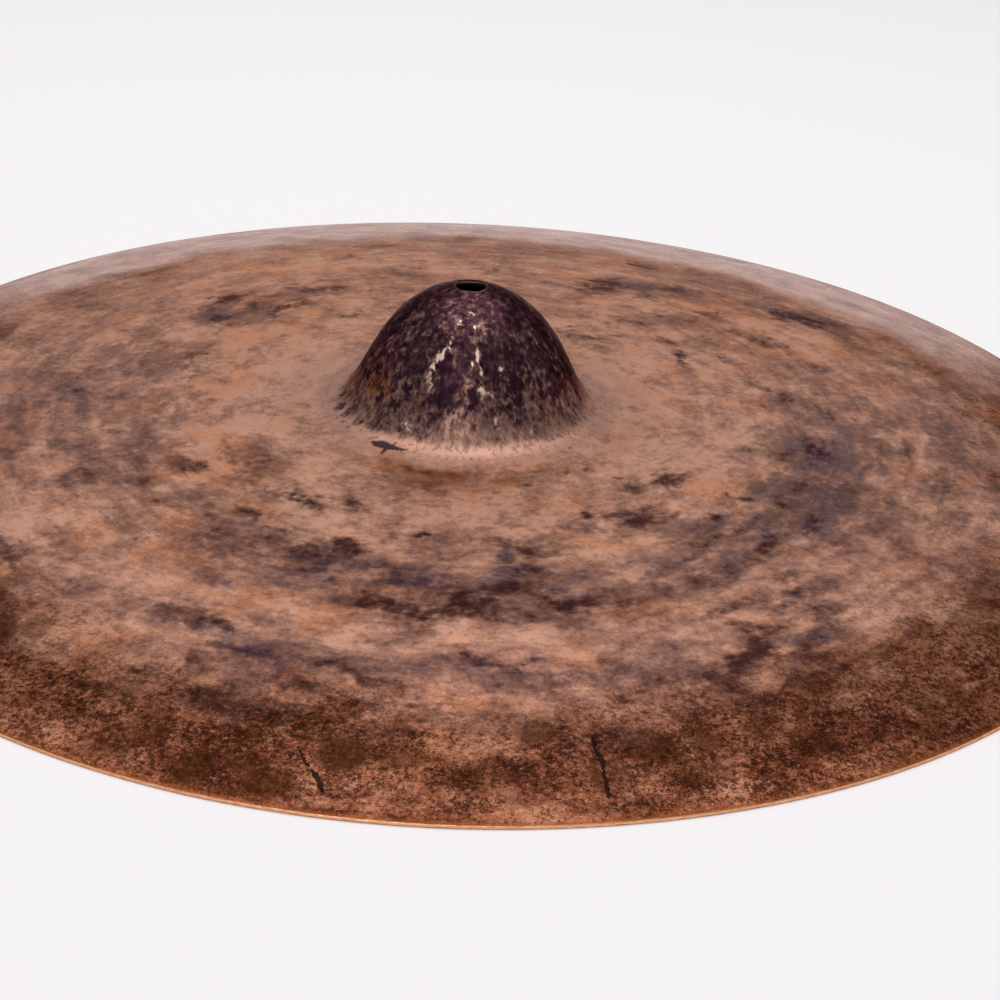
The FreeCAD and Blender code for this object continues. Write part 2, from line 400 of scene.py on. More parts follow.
VIOLET = [
    (78.3, 146.3, 26, 17, 0, .95), (56.9, 158, 22, 13, 0, .95), (60, 182, 26, 14, 0, .7),
    (63, 135, 14, 9, 0, .8), (48, 150, 18, 10, 10, .85), (38, 160, 20, 9, 5, .8),
    (-6.9, 146, 20, 8, 10, .85), (8.9, 141.6, 15, 8, 0, .85), (-24, 156, 24, 8, -8, .9),
    (-19, 143, 16, 8, 20, .9), (-13, 149, 16, 6, 15, .9), (-32, 148, 18, 8, 0, .75),
    (-38, 122, 16, 8, 10, .6), (-30, 126, 12, 7, 0, .7),
    (16, 148, 16, 8, 0, .75), (30, 152, 20, 9, 0, .85), (-136, 150, 24, 14, 20, .55),
    (-17, 211, 24, 6, 0, .85), (-6, 207, 22, 6, 0, .8), (3, 205, 20, 8, 0, .95),
    (-12, 204, 20, 6, 0, .7), (11, 205, 16, 6, 0, .9), (-25, 208, 18, 7, 0, .7),
    (20, 208, 26, 7, 0, .8), (26, 213, 22, 8, 10, .9), (34, 214, 16, 9, 0, .9),
    (-33, 176, 22, 7, 0, .6), (-31, 198, 18, 8, 0, .65), (130, 202, 24, 12, 0, .9),
    (152, 178, 24, 12, 20, .6), (-15, 249, 14, 9, 0, .4), (-9, 186, 26, 6, 0, .55),
    (12, 182, 24, 6, 0, .6), (105, 160, 22, 10, 0, .6), (90, 205, 26, 12, 0, .6),
    (-100, 180, 26, 12, 0, .5), (-70, 205, 26, 12, 0, .55), (-160, 160, 22, 10, 0, .4),
    (165, 115, 20, 10, 0, .4), (-52, 128, 18, 9, 0, .5), (-84, 130, 20, 10, 0, .4),
    (-48, 106, 9, 6, 0, .7), (-40, 103, 7, 5, 0, .5), (44, 132, 16, 8, 0, .6),
    (37, 196, 18, 8, 0, .6), (28, 176, 20, 5, 5, .6), (20, 186, 18, 5, 0, .4),
    (-4, 228, 14, 6, 0, .45), (14.5, 214, 12, 6, 30, .8), (6, 216, 12, 6, 0, .5),
]
# a lighter (positive) or darker (negative) tone over a wide area
TONE = [
    (-26, 181, 34, 10, 0, .55), (-12, 190, 36, 9, 0, .5), (3, 184, 30, 8, 0, .35),
    (20, 176, 20, 5, 0, .45), (24, 186, 28, 9, 0, .35), (36, 178, 24, 8, 0, .4),
    (-2, 214, 13, 7, 0, .75), (-8, 218, 12, 4, 0, .3), (6, 228, 20, 9, 0, .5),
    (2, 243, 20, 7, 0, .65), (-6, 236, 9, 5, 0, .4), (-4.5, 266, 16, 6, 0, .85),
    (2, 269, 18, 6, 0, .9), (7.5, 270, 18, 6, 0, 1.0), (13, 271, 16, 5, 0, .6),
    (-9.8, 268, 7, 7, 0, 1.0), (-12.5, 258, 6, 6, 0, .35), (19, 266, 12, 7, 0, .65),
    (17.6, 246, 4, 16, -6, .55), (13.6, 226, 7, 7, 10, .6), (22.5, 224, 12, 5, 0, .4),
    (24, 252, 10, 6, 0, .4), (-2, 130, 26, 10, 0, .45), (10, 104, 30, 14, 0, .45),
    (-25, 118, 16, 9, 0, .65), (-12, 106, 24, 12, 0, .4), (-45, 146, 24, 9, 0, .5),
    (-47, 120, 22, 10, 0, .45), (-24, 129, 8, 6, 0, .7), (-5, 88, 24, 9, 0, .25),
    (19.5, 138, 14, 9, 0, .75), (31, 140, 12, 7, 0, .75), (52, 122, 14, 6, 0, .6),
    (22, 128, 16, 7, 0, .4), (23, 153, 14, 3.6, 0, .8), (29, 163, 14, 5, 0, .5),
    (-60, 190, 30, 14, 0, .5), (-100, 210, 30, 14, 0, .5), (120, 180, 30, 10, 0, .4),
    (150, 150, 24, 9, 0, .45), (100, 130, 20, 8, 0, .3), (70, 220, 26, 10, 0, .4),
    (-150, 205, 36, 14, 0, .4), (175, 160, 30, 16, 0, .4), (-12, 153, 12, 4, 0, .4),
    (-11, 128, 8, 8, 0, .55), (-3, 144, 9, 8, 0, .35), (-1, 189, 16, 5, 0, .4),
]
SHADE = [
    (0, 157, 40, 10, 0, .35), (-12, 170, 34, 8, 0, .55), (12, 168, 34, 9, 0, .35),
    (-28, 150, 30, 11, 0, .35), (60, 158, 34, 20, 0, .5), (75, 150, 24, 22, 0, .5),
    (45, 160, 26, 9, 0, .4), (-25, 236, 30, 14, 0, .65), (-14, 238, 22, 9, 0, .6),
    (-27, 262, 16, 12, 0, .6), (-6.5, 242, 14, 9, 0, .6), (10.5, 236, 12, 7, 0, .5),
    (9, 249, 14, 9, 0, .5), (16, 254, 9, 10, 0, .5), (26, 240, 20, 12, 0, .6),
    (30, 256, 20, 14, 0, .6), (24, 262, 10, 8, 0, .4), (-16, 222, 24, 8, 0, .5),
    (-1, 262, 20, 4, 0, .35), (4, 258, 22, 4, 0, .45), (34, 226, 20, 14, 0, .5),
    (-4, 76, 16, 6, 0, .35), (10, 75, 16, 5, 0, .3), (-125, 205, 30, 12, 0, .4),
    (135, 215, 30, 10, 0, .5), (-90, 180, 30, 16, 0, .4), (100, 190, 30, 16, 0, .4),
]
RUST = [
    (-11.4, 68.4, 4.5, 2.2, 0, 1.0), (-17, 67.8, 9, 3, 0, .9), (-7, 71, 9, 3.4, 0, .8),
    (-12, 77, 9, 2.6, 10, .75), (12.8, 74, 5, 3, 0, .7), (14.0, 79.1, 5, 3, 0, .6),
    (3, 77, 9, 3, 0, .4), (-150, 190, 30, 18, 0, .6), (-130, 120, 26, 16, 0, .5),
    (-52, 118, 22, 11, 0, .9), (-62, 108, 18, 10, 0, .8), (-38, 126, 12, 7, 0, .8),
    (-30, 172, 34, 10, 0, .7), (130, 150, 30, 16, 0, .5), (140, 180, 24, 12, 0, .7),
    (95, 118, 20, 14, 0, .4), (-90, 110, 22, 14, 0, .55), (160, 195, 26, 12, 0, .5),
    (120, 205, 24, 12, 0, .6), (-45, 180, 24, 9, 0, .6), (54, 118, 12, 7, 0, .6),
]
for _ in range(60):
    az = rng.uniform(40, 320)
    r = math.sqrt(rng.uniform(70 ** 2, 232 ** 2))
    DARK.append((az, r, rng.uniform(4, 13), rng.uniform(2.5, 6.0), rng.uniform(-30, 30), rng.uniform(.35, .8)))
for _ in range(24):
    az = rng.uniform(40, 320)
    r = rng.uniform(222, 272)
    (TONE if rng.random() < 0.5 else SHADE).append(
        (az, r, rng.uniform(9, 22), rng.uniform(5, 12), rng.uniform(-20, 20), rng.uniform(.4, .9)))
# painted light: the dark clouds are weaker on the far half
f_dark = blotches(DARK, bow_idx) * (1.0 - 0.22 * smooth(Y, 20.0, 110.0))
f_violet = blotches(VIOLET, bow_idx)
f_tone = blotches(TONE, bow_idx) - blotches(SHADE, bow_idx)
f_rust = blotches(RUST, bow_idx)

# bell: bare metal where the patina is rubbed through, whose strongest spots also carry a painted highlight, and rusty
# brown patches, given by azimuth and height of their middle, half width across and half height
bell_idx = np.where(is_up & (R <= 62))[0]


def bell_spots(spec):
    f = np.zeros(len(R))
    rb, zb, ab = R[bell_idx], zz[ring_of][bell_idx], AZ[bell_idx]
    jig = vnoise(P0[bell_idx], 5.0, 51)
    jig2 = vnoise(P0[bell_idx], 5.0, 52)
    for az, z, hu, hv, amp in spec:
        du = ((ab - az + 180) % 360 - 180) * math.pi / 180 * rb + 1.6 * jig
        dv = zb - z + 1.6 * jig2
        q = (du / hu) ** 2 + (dv / hv) ** 2
        f[bell_idx] = np.maximum(f[bell_idx], amp * np.exp(-q))
    return f


f_bare_glint = bell_spots([
    (-17.4, 54.5, 1.1, 2.6, 1.0), (-20.5, 52.3, 1.7, 2.4, 1.0), (-23.8, 49.6, 1.8, 2.4, 1.0),
    (-24.6, 46.4, 1.4, 2.4, .9), (-20.6, 43.0, 1.3, 2.4, .75), (-18.0, 40.6, 1.0, 1.8, .6),
    (-14.4, 60.2, 0.9, 1.0, .75), (-13.2, 57.3, 1.0, 1.6, 1.0),
    (8.4, 56.3, 0.9, 2.2, 1.0), (8.0, 53.2, 1.0, 2.2, 1.0), (8.4, 49.9, 1.1, 1.8, 1.0),
    (22.7, 51.5, 1.2, 0.9, 1.0), (23.9, 49.0, 1.6, 1.4, .6), (25.6, 46.4, 1.6, 1.6, .5),
    (1.5, 52.5, 0.8, 0.9, .6), (13.5, 42.0, 2.6, 2.4, .55), (7.6, 44.2, 2.2, 3.0, .6),
    (2.0, 46.0, 1.4, 2.4, .45), (14.0, 33.5, 2.2, 2.4, .6), (17.0, 31.0, 2.4, 3.0, .6),
    (-0.5, 68.3, 2.6, 1.6, .4), (-7, 65.6, 3.2, 2.0, .5), (6, 63, 3.0, 2.4, .35),
    (-30, 62, 3.0, 3.0, .35), (45, 61, 2.0, 2.6, .35), (58, 55, 1.8, 3.6, .35),
    (-60, 50, 1.6, 6.0, .4), (-50, 55, 1.6, 5.0, .4), (100, 45, 1.6, 6.0, .5),
    (150, 50, 1.8, 5.0, .7), (158, 44, 1.4, 4.0, .6), (-120, 48, 1.8, 5.0, .6),
    (-160, 42, 1.6, 5.0, .6), (-135, 58, 1.6, 3.0, .5), (120, 60, 2.0, 3.0, .5),
    (-28, 27.5, 4.0, 2.6, .45), (34, 27.5, 4.0, 2.6, .45),
])
f_brown = bell_spots([
    (-58, 37, 6.0, 5.0, 1.0), (-50, 40, 5.0, 7.0, .8), (45, 36, 4.0, 8.0, .6),
    (52, 33, 5.0, 5.0, .65), (66, 38, 4.0, 6.0, .7), (-80, 36, 7.0, 6.0, .6),
    (-26, 36.0, 4.0, 1.6, .6), (110, 36, 8.0, 6.0, .6), (170, 38, 8.0, 7.0, .6),
    (-140, 38, 8.0, 7.0, .6), (-52, 46, 6.0, 5.0, .6), (-22, 41, 2.6, 3.0, .5),
])
# solid, unbroken patina: nothing shows through here
f_solid = bell_spots([
    (-10.5, 46.0, 2.6, 6.0, 1.0), (-12, 39.5, 3.4, 3.0, .9), (-16, 31.5, 3.6, 2.4, .9),
    (3, 41, 2.0, 3.4, .8), (30, 42, 3.6, 4.6, .9), (33, 55, 3.0, 5.0, .7), (18, 46.5, 1.6, 3.0, .8),
    (22, 36, 5.0, 1.8, .9), (15, 55, 2.4, 4.0, .7), (60, 46, 3.0, 7.0, 1.0), (72, 58, 3.4, 6.0, .9),
    (80, 42, 4.0, 8.0, .8), (48, 64, 5.0, 4.0, .8), (75, 67, 5.0, 3.0, .8), (-45, 67, 3.0, 2.4, .5),
    (-75, 60, 3.0, 7.0, .7), (-38, 33.5, 2.4, 2.0, 1.0), (-50, 31.0, 3.2, 2.4, 1.0),
    (-60, 28.5, 3.0, 1.6, .8), (28, 30.5, 3.6, 1.8, .8), (110, 55, 4.0, 8.0, .7),
    (140, 38, 4.0, 6.0, .7), (-110, 40, 4.0, 6.0, .7), (-150, 60, 4.0, 5.0, .7),
])

# flakes of patina left on the fillet, outside the patina's edge
f_spill = bell_spots([
    (-74, 24.5, 4, 3.6, .9), (-64, 24.2, 5, 3.4, 1.0), (-55, 24.2, 5, 3.0, 1.0), (-47, 25.0, 4, 2.6, .9),
    (-40, 25.6, 4, 2.6, .8), (-31, 26.6, 4, 2.4, .7), (-21, 26.6, 4, 2.2, .6), (-84, 25, 4, 3, .7),
    (-60, 22.0, 8, 2.0, .55), (-40, 23.0, 7, 1.6, .5), (40, 25.6, 5, 2.2, .6), (60, 25.5, 5, 2.4, .6),
    (-120, 25, 8, 3, .8), (120, 25, 8, 3, .7), (170, 25, 10, 3, .8), (-160, 25, 8, 3, .7),
])

# ------------------------------------------------------------------ faces
faces = []


def join(a, b):
    """Faces between ring a and the next ring b, whose counts are equal or differ by two."""
    na, nb = cnt[a], cnt[b]
    sa, sb = start[a], start[b]
    if na == nb:
        i = np.arange(na)
        j = (i + 1) % na
        return [tuple(q) for q in np.stack([sa + i, sb + i, sb + j, sa + j], 1).tolist()]
    out = []
    if nb == 2 * na:
        for i in range(na):
            j = (i + 1) % na
            b0, b1, b2 = sb + 2 * i, sb + 2 * i + 1, sb + (2 * i + 2) % nb
            out += [(sa + i, b0, b1), (sa + i, b1, sa + j), (sa + j, b1, b2)]
    elif na == 2 * nb:
        for i in range(nb):
            j = (i + 1) % nb
            a0, a1, a2 = sa + 2 * i, sa + 2 * i + 1, sa + (2 * i + 2) % na
            out += [(a0, sb + i, a1), (sb + i, sb + j, a1), (a1, sb + j, a2)]
    else:
        raise ValueError("ring counts %d and %d" % (na, nb))
    return out


face_ring = []
for k in range(n_ring):
    made = join(k, (k + 1) % n_ring)
    faces += made
    face_ring += [k] * len(made)
face_ring = np.array(face_ring)

verts = np.stack([X, Y, Z], 1) * MM
mesh = bpy.data.meshes.new("cymbal_skin")
mesh.from_pydata(verts.tolist(), [], faces)
mesh.validate()
mesh.polygons.foreach_set("use_smooth", [True] * len(mesh.polygons))


def put(name, values):
    att = mesh.attributes.new(name, "FLOAT", "POINT")
    att.data.foreach_set("value", np.asarray(values, np.float32))


under_flag = np.where(np.arange(n_ring) >= I_LAND, 1.0, 0.0)[ring_of]
put("under", under_flag)
put("cut", cut)
put("mark", mark)
put("dark", f_dark)
put("violet", f_violet)
put("tone", f_tone)
put("rust", f_rust)
put("bare", f_bare_glint)
put("brown", f_brown)
put("solid", f_solid)
put("spill", f_spill)
# the far part of the rim is paler, a painted reflection of the white studio at a glancing angle, and smoother
put("far_rim_sheen", smooth(np.abs((AZ + 4.0 + 180) % 360 - 180), 96, 128) * smooth(R + 5.0 * vnoise(flat, 22.0, 71), 219, 246))

# ------------------------------------------------------------------ map for the bake
# The upper side is one disc, laid out by length along the section. The cut edge is a thin
# ring round it. The underside is four quarter discs in the corners.
uv = mesh.uv_layers.new(name="OFBake")
n_loops = len(mesh.loops)
lv = np.zeros(n_loops, np.int32)
mesh.loops.foreach_get("vertex_index", lv)
lp = np.zeros(n_loops, np.int32)
starts = np.zeros(len(mesh.polygons), np.int32)
totals = np.zeros(len(mesh.polygons), np.int32)
mesh.polygons.foreach_get("loop_start", starts)
mesh.polygons.foreach_get("loop_total", totals)
lp = np.repeat(np.arange(len(mesh.polygons)), totals)
fr = face_ring[lp]
th = theta[lv]
vr = ring_of[lv]
s_up = (arc + 2.0) / (arc[I_RIM] + 2.0) * 0.485
s_edge = 0.485 + (arc - arc[I_RIM]) / (arc[I_LAND] - arc[I_RIM]) * 0.0075
total = arc[-1] + 1.0
s_low = (total - arc) / (total - arc[I_LAND]) * 0.2
rad = np.where(fr < I_RIM, s_up[vr], np.where(fr < I_LAND, s_edge[vr], 0.0))
u = 0.5 + rad * np.cos(th)
v = 0.5 + rad * np.sin(th)
low = fr >= I_LAND
cen = np.zeros(len(mesh.polygons))
vx = verts[lv, 0]
vy = verts[lv, 1]
fx = np.add.reduceat(vx, starts) / totals
fy = np.add.reduceat(vy, starts) / totals
fx, fy = fx[lp], fy[lp]
closing = fr == n_ring - 1
ring_arc = np.where(closing & (vr == 0), arc[-1] + 0.5, arc[vr])
s_lowv = (total - ring_arc) / (total - arc[I_LAND]) * 0.2
cxn = np.where(fx >= 0, 0.0, 1.0)
cyn = np.where(fy >= 0, 0.0, 1.0)
u = np.where(low, cxn + s_lowv * np.cos(th), u)
v = np.where(low, cyn + s_lowv * np.sin(th), v)
uv.data.foreach_set("uv", np.stack([np.clip(u, 0, 1), np.clip(v, 0, 1)], 1).ravel().astype(np.float32))

cymbal = bpy.data.objects.new("cymbal_skin", mesh)
bpy.context.scene.collection.objects.link(cymbal)

# crisp corners at the hole and the cut edge
edge_flags = np.zeros(len(mesh.edges), bool)
ev = np.zeros(len(mesh.edges) * 2, np.int32)
mesh.edges.foreach_get("vertices", ev)
ev = ev.reshape(-1, 2)
sharp_rings = {6, I_RIM, I_LAND, I_LAND - 1}
same = ring_of[ev[:, 0]] == ring_of[ev[:, 1]]
edge_flags = same & np.isin(ring_of[ev[:, 0]], list(sharp_rings))
sharp = mesh.attributes.new("sharp_edge", "BOOLEAN", "EDGE")
sharp.data.foreach_set("value", edge_flags)


# ------------------------------------------------------------------ node writing helpers
class Graph:
    def __init__(self, tree):
        self.tree = tree
        self.col = 0

    def node(self, kind, **props):
        n = self.tree.nodes.new(kind)
        n.location = (-1800 + 170 * (self.col % 40), 900 - 190 * (self.col // 40))
        self.col += 1
        for k, val in props.items():
            setattr(n, k, val)
        return n

    def put(self, sock, val):
        if isinstance(val, Val):
            self.tree.links.new(val.sock, sock)
        else:
            sock.default_value = val

    def math(self, op, a, b=0.0, clamp=False):
        n = self.node("ShaderNodeMath", operation=op, use_clamp=clamp)
        self.put(n.inputs[0], a)
        self.put(n.inputs[1], b)
        return Val(self, n.outputs[0])

    def attr(self, name):
        n = self.node("ShaderNodeAttribute", attribute_name=name)
        return Val(self, n.outputs["Fac"])

    def vec(self, x, y, z):
        n = self.node("ShaderNodeCombineXYZ")
        for s, val in zip(n.inputs, (x, y, z)):
            self.put(s, val)
        return Val(self, n.outputs[0])

    def vadd(self, a, b):
        n = self.node("ShaderNodeVectorMath", operation="ADD")
        self.put(n.inputs[0], a)
        self.put(n.inputs[1], b)
        return Val(self, n.outputs[0])

    def vmul(self, a, b):
        n = self.node("ShaderNodeVectorMath", operation="MULTIPLY")
        self.put(n.inputs[0], a)
        self.put(n.inputs[1], b)
        return Val(self, n.outputs[0])

    def noise(self, vec, size, detail=2.0, rough=0.5, shift=0.0, dist=0.0):
        """Fractal noise of features about size millimetres across, near 0.5 on average."""
        v = self.vadd(vec, (shift, shift * 0.37, -shift * 0.61)) if shift else vec
        n = self.node("ShaderNodeTexNoise")
        self.put(n.inputs["Vector"], v)
        n.inputs["Scale"].default_value = 1.0 / size
        n.inputs["Detail"].default_value = detail
        n.inputs["Roughness"].default_value = rough
        n.inputs["Distortion"].default_value = dist
        return Val(self, n.outputs["Fac"])

    def cells(self, vec, size, shift=0.0, randomness=1.0):
        v = self.vadd(vec, (shift, -shift, shift * 0.3)) if shift else vec
        n = self.node("ShaderNodeTexVoronoi")
        self.put(n.inputs["Vector"], v)
        n.inputs["Scale"].default_value = 1.0 / size
        n.inputs["Randomness"].default_value = randomness
        return Val(self, n.outputs["Distance"])

    def step(self, x, lo, hi, a=0.0, b=1.0):
        """Smooth step from a at lo to b at hi."""
        n = self.node("ShaderNodeMapRange", interpolation_type="SMOOTHSTEP")
        self.put(n.inputs["Value"], x)
        for key, val in (("From Min", lo), ("From Max", hi), ("To Min", a), ("To Max", b)):
            self.put(n.inputs[key], val)
        return Val(self, n.outputs[0])

    def line(self, x, lo, hi, a=0.0, b=1.0):
        n = self.node("ShaderNodeMapRange", clamp=True)
        self.put(n.inputs["Value"], x)
        for key, val in (("From Min", lo), ("From Max", hi), ("To Min", a), ("To Max", b)):
            self.put(n.inputs[key], val)
        return Val(self, n.outputs[0])

    def ramp(self, x, stops):
        n = self.node("ShaderNodeValToRGB")
        self.put(n.inputs[0], x)
        el = n.color_ramp.elements
        while len(el) < len(stops):
            el.new(0.5)
        for e, (p, c) in zip(el, stops):
            e.position = p
            e.color = srgb(c)
        return Val(self, n.outputs["Color"])

    def mix(self, fac, a, b, mode="MIX"):
        n = self.node("ShaderNodeMix", data_type="RGBA", blend_type=mode)
        self.put(n.inputs[0], fac)
        self.put(n.inputs[6], srgb(a) if isinstance(a, tuple) else a)
        self.put(n.inputs[7], srgb(b) if isinstance(b, tuple) else b)
        return Val(self, n.outputs[2])

    def fmix(self, fac, a, b):
        n = self.node("ShaderNodeMix", data_type="FLOAT")
        self.put(n.inputs[0], fac)
        self.put(n.inputs[2], a)
        self.put(n.inputs[3], b)
        return Val(self, n.outputs[0])

    def scale(self, col, f):
        """Colour times a number."""
        n = self.node("ShaderNodeVectorMath", operation="SCALE")
        self.put(n.inputs[0], col)
        self.put(n.inputs[3], f)
        return Val(self, n.outputs[0])


class Val:
    def __init__(self, g, sock):
        self.g, self.sock = g, sock

    def __add__(self, o):
        return self.g.math("ADD", self, o)

    def __radd__(self, o):
        return self.g.math("ADD", o, self)

    def __sub__(self, o):
        return self.g.math("SUBTRACT", self, o)

    def __rsub__(self, o):
        return self.g.math("SUBTRACT", o, self)

    def __mul__(self, o):
        return self.g.math("MULTIPLY", self, o)

    def __rmul__(self, o):
        return self.g.math("MULTIPLY", o, self)

    def max(self, o):
        return self.g.math("MAXIMUM", self, o)

    def min(self, o):
        return self.g.math("MINIMUM", self, o)

    def clamp(self):
        return self.g.math("ADD", self, 0.0, True)


def srgb(c):
    out = []
    for k in c[:3]:
        k = k / 255.0
        out.append(k / 12.92 if k <= 0.04045 else ((k + 0.055) / 1.055) ** 2.4)
    return (*out, 1.0)


# ------------------------------------------------------------------ bronze
mat = bpy.data.materials.new("hammered_bronze")
mat.use_nodes = True
nt = mat.node_tree
nt.nodes.clear()
g = Graph(nt)
tc = g.node("ShaderNodeTexCoord")
pos = g.vmul(Val(g, tc.outputs["Object"]), (1000.0, 1000.0, 1000.0))
sep = g.node("ShaderNodeSeparateXYZ")
nt.links.new(pos.sock, sep.inputs[0])
px, py, pz = (Val(g, sep.outputs[i]) for i in range(3))
rad2 = px * px + py * py
radius = g.math("SQRT", rad2)
plane = g.vec(px, py, 0.0)
bellv = g.vec(px, py, pz * 0.60)

a_under, a_cut, a_mark = g.attr("under"), g.attr("cut"), g.attr("mark")
a_dark, a_violet, a_tone, a_rust = g.attr("dark"), g.attr("violet"), g.attr("tone"), g.attr("rust")
a_bare_glint, a_brown, a_solid = g.attr("bare"), g.attr("brown"), g.attr("solid")
a_far_sheen, a_spill = g.attr("far_rim_sheen"), g.attr("spill")

# coordinates that stretch patterns along the circles that the hammering followed
inv = g.math("DIVIDE", 1.0, radius.max(1.0))
swirl = g.vec(radius, px * inv * 62.0, py * inv * 62.0)

# zones
wob = g.line(g.noise(plane, 26, 3, .6, 7.0), .30, .70) - 0.5
in_rim = g.step(radius + wob * 24.0, 210.0, 250.0)

# --- ground tone of the bow: soft clouds, mottling and grain
cloud = g.line(g.noise(plane, 46, 3, .55, 3.0, .4), .30, .70) - 0.5
mottle = g.line(g.noise(plane, 15, 7, .66, 31.0, .3), .30, .70) - 0.5
streak = g.line(g.noise(swirl, 11, 6, .66, 44.0, .3), .30, .70) - 0.5
fine = g.line(g.noise(plane, 3.4, 5, .70, 57.0, .2), .28, .72) - 0.5
grain = g.line(g.noise(plane, 1.0, 2, .75, 91.0), .22, .78) - 0.5
# how much darker the rings at 145 and 207 millimetres are
ring_a = g.step(radius + wob * 22.0, 122.0, 142.0) * g.step(radius + wob * 22.0, 174.0, 162.0)
ring_b = g.step(radius + wob * 14.0, 194.0, 204.0) * g.step(radius + wob * 14.0, 232.0, 216.0)
patch = g.line(g.noise(swirl, 7.5, 5, .62, 61.0, .3), .30, .70) - 0.5
# painted light: lighter at the left and right of the near part of the bow and rim
near_side_light = g.step(px * px, 3000.0, 11000.0) * g.step(py, -110.0, -165.0)
# painted shade: darker on the near part, right of the middle, 190 to 245 mm in front of the centre
near_patch_shade = g.step((px - 42.0) * (px - 42.0), 4600.0, 500.0) * g.step(py, -186.0, -204.0) * g.step(py, -246.0, -228.0)
# the ground tone holds painted light: lighter on the far half and to the left and right of the cup
ground = 0.735 + cloud * 0.36 + mottle * 0.60 + patch * 0.42 + streak * 0.28 + fine * 0.42 + grain * 0.30 \
    - ring_a * 0.12 - ring_b * 0.07 + a_tone * 0.24 + g.step(radius, 122.0, 92.0) * 0.13 - g.step(radius, 150.0, 180.0) * 0.04 \
    + g.step(py, 10.0, 90.0) * 0.10 + g.step(px * px * inv * inv, .30, .80) * g.step(radius, 172.0, 100.0) * 0.15 \
    + near_side_light * g.step(radius, 190.0, 205.0) * 0.07 - near_patch_shade * 0.10
bow = g.ramp(ground, [
    (0.00, (64, 38, 35)), (0.16, (90, 58, 52)), (0.32, (116, 79, 69)), (0.48, (140, 98, 84)),
    (0.64, (162, 116, 97)), (0.82, (182, 133, 110)), (1.00, (202, 152, 128)),
])
orange = g.step(g.noise(plane, 30, 4, .6, 140.0, .4) + a_rust * 0.22, .49, .68)
bow = g.mix(orange * 0.62, bow, g.mix(1.0, bow, (255, 226, 188), "MULTIPLY"))

# --- dark clouds: soft brown and violet ones, with nearly black cores
c_big = g.noise(plane, 27, 5, .58, 240.0, .5) - 0.5
c_mid = g.noise(swirl, 10, 7, .66, 252.0, .5) - 0.5
c_fin = g.noise(plane, 3.6, 5, .70, 264.0, .3) - 0.5
veil = c_big * 1.25 + c_mid * 1.9 + c_fin * 1.0 + grain * 0.10
# painted light: fewer soft dark clouds on the far half
near_q = veil + a_dark * 0.44 + a_violet * 0.16 - a_tone * 0.14 + ring_a * 0.080 + ring_b * 0.03 \
    - g.step(py, 10.0, 90.0) * 0.06
soft = g.step(near_q + a_dark * 0.10, -.05, .44)
# painted light: fewer dark cores at the left and right sides
core_q = a_dark * 0.86 + a_violet * 0.06 + c_big * 0.7 + c_mid * 1.5 + c_fin * 1.2 + grain * 0.10 - a_tone * 0.06 \
    - g.step(px * px * inv * inv, .62, .90) * 0.12
core = g.step(core_q, .26, .88)
vio = g.step(a_violet * 0.50 + (g.noise(swirl, 16, 6, .62, 205.0, .5) - 0.5) * 1.9 + 0.06, .12, .66)
soft_col = g.mix(vio, g.ramp(0.5 + fine * 0.6 + grain * 0.3, [
    (0.0, (58, 34, 30)), (0.5, (88, 57, 48)), (1.0, (122, 84, 70))]), g.ramp(0.5 + fine * 0.6 + grain * 0.3, [
    (0.0, (54, 38, 47)), (0.5, (84, 63, 69)), (1.0, (120, 93, 92))]))
bow = g.mix((vio * 0.36 + soft * 0.54).clamp(), bow, soft_col)
spot_col = g.mix(vio, (42, 13, 12), (36, 14, 36))
spot_col = g.mix((fine + grain * 0.8 + 0.35).clamp() * 0.5, spot_col, (92, 58, 54))
bow = g.mix(core * 0.94, bow, spot_col)

# --- rim: browner and darker, with dense black speckle and oily round marks
# rim_t holds painted light and shade: darker in the middle of the near rim, lighter on the far rim and at the sides of
# the near part
rim_t = 0.50 + mottle * 0.34 + streak * 0.34 + grain * 0.46 + fine * 0.50 + cloud * 0.20 \
    - soft * 0.18 + a_tone * 0.23 + a_far_sheen * 0.22 \
    - g.step(px * px, 13000.0, 1200.0) * g.step(py, -150.0, -205.0) * 0.065 \
    + near_side_light * 0.15 - near_patch_shade * 0.09 - g.step(radius, 246.0, 262.0) * 0.13 + 0.07
rim = g.ramp(rim_t, [
    (0.0, (36, 11, 3)), (0.18, (60, 26, 13)), (0.36, (88, 45, 28)), (0.54, (114, 67, 47)),
    (0.72, (136, 88, 65)), (0.88, (152, 105, 81)), (1.0, (168, 122, 99))])
# painted reflection: the far rim is mixed towards a pale pinkish grey
rim = g.mix((a_far_sheen * (0.66 + patch * 0.9 + mottle * 0.6)).clamp(), rim, (212, 178, 166))
body = g.mix(in_rim * 0.94, bow, rim)
speck_n = g.noise(plane, 1.6, 4, .82, 371.0)
speck_m = g.line(g.noise(plane, 11, 4, .6, 390.0), .32, .68) - 0.5
rim_in = g.step(radius, 186.0, 216.0)
speck = g.step(speck_n + speck_m * 0.10 + in_rim * 0.034 + rim_in * 0.018 + soft * 0.03 - a_tone * 0.02,
               .53, .62)
body = g.mix(speck * (0.12 + rim_in * 0.20 + in_rim * 0.50) * (1.0 - a_far_sheen * 0.75), body, (26, 8, 4))
chip = g.step(g.noise(plane, 1.7, 3, .8, 377.0) + a_tone * 0.02, .59, .67)
body = g.mix(chip * in_rim * 0.36, body, (188, 138, 112))
body = g.mix((a_mark * (0.82 + fine * 0.4)).clamp() * (1.0 - a_far_sheen * 0.6), body, g.ramp(0.5 + grain * 0.6 + fine * 0.6, [
    (0.0, (22, 7, 0)), (0.5, (48, 23, 8)), (1.0, (80, 45, 22))]))
spot, wisp = core, soft

